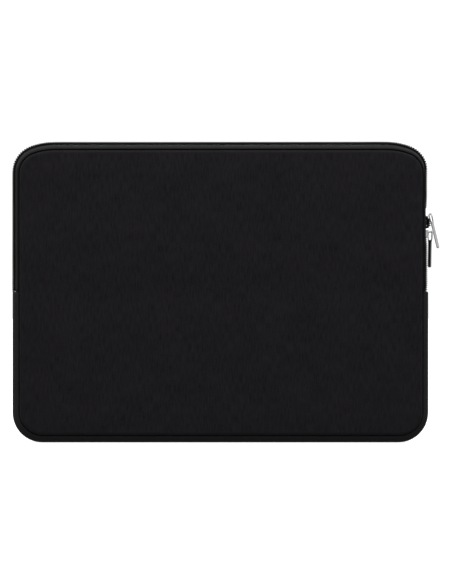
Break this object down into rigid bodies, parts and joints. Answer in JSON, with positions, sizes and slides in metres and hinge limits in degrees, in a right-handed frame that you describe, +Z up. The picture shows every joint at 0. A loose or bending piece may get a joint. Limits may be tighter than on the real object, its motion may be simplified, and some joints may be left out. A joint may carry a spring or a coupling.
{
  "type": "laptop sleeve",
  "caption": "Padded black fabric sleeve for a thin laptop, with a zipper across the top and half-way down both sides.",
  "frame": {"origin": "centre of the flat strip under the gusset, on which the sleeve stands upright", "axes": "+Z up towards the zipper's top run, +X across the width to the side with the two sliders, front face towards -Y"},
  "size_m": [0.3595, 0.024, 0.2519],
  "materials": {
    "cover_fabric": "matte",
    "padding_foam": "matte",
    "lining_fabric": "matte",
    "binding_tape": "matte",
    "zipper_tape": "matte",
    "zipper_coil": "satin",
    "slider_metal": "polished",
    "pull_metal": "polished"
  },
  "bodies": {
    "sleeve": {"back_cover": "cover_fabric", "back_padding": "padding_foam", "back_lining": "lining_fabric", "back_binding": "binding_tape", "front_cover_lower": "cover_fabric", "front_padding_lower": "padding_foam", "front_lining_lower": "lining_fabric", "front_binding_lower": "binding_tape", "gusset_cover": "cover_fabric", "gusset_padding": "padding_foam", "gusset_lining": "lining_fabric", "back_zipper_tape": "zipper_tape", "back_zipper_coil": "zipper_coil"},
    "front_flap": {"front_cover_upper": "cover_fabric", "front_padding_upper": "padding_foam", "front_lining_upper": "lining_fabric", "front_binding_upper": "binding_tape", "front_zipper_tape": "zipper_tape", "front_zipper_coil": "zipper_coil"},
    "upper_slider": {"upper_slider_body": "slider_metal", "upper_slider_crown": "slider_metal"},
    "lower_slider": {"lower_slider_body": "slider_metal", "lower_slider_crown": "slider_metal"},
    "upper_pull": {"upper_pull": "pull_metal"},
    "lower_pull": {"lower_pull": "pull_metal"}
  },
  "joints": [
    {"name": "front_flap_fold", "type": "hinge", "parent": "sleeve", "child": "front_flap", "pos_m": [0, -0.012, 0.127], "axis": [1, 0, 0], "range_deg": [0, 160], "deforming": ["front_zipper_coil"]},
    {"name": "upper_slider_run", "type": "slide", "parent": "sleeve", "child": "upper_slider", "axis": [0, 0, 1], "range_m": [0, 0.027], "deforming": ["front_zipper_coil", "back_zipper_coil"]},
    {"name": "lower_slider_run", "type": "slide", "parent": "sleeve", "child": "lower_slider", "axis": [0, 0, -1], "range_m": [0, 0.044], "deforming": ["front_zipper_coil", "back_zipper_coil"]},
    {"name": "upper_pull_swing", "type": "hinge", "parent": "upper_slider", "child": "upper_pull", "pos_m": [0.1772, 0, 0.1925], "axis": [-0.6225, -0.7826, 0], "range_deg": [0, 145]},
    {"name": "lower_pull_swing", "type": "hinge", "parent": "lower_slider", "child": "lower_pull", "pos_m": [0.1772, 0, 0.1774], "axis": [0.6157, -0.788, 0], "range_deg": [0, 120]}
  ]
}
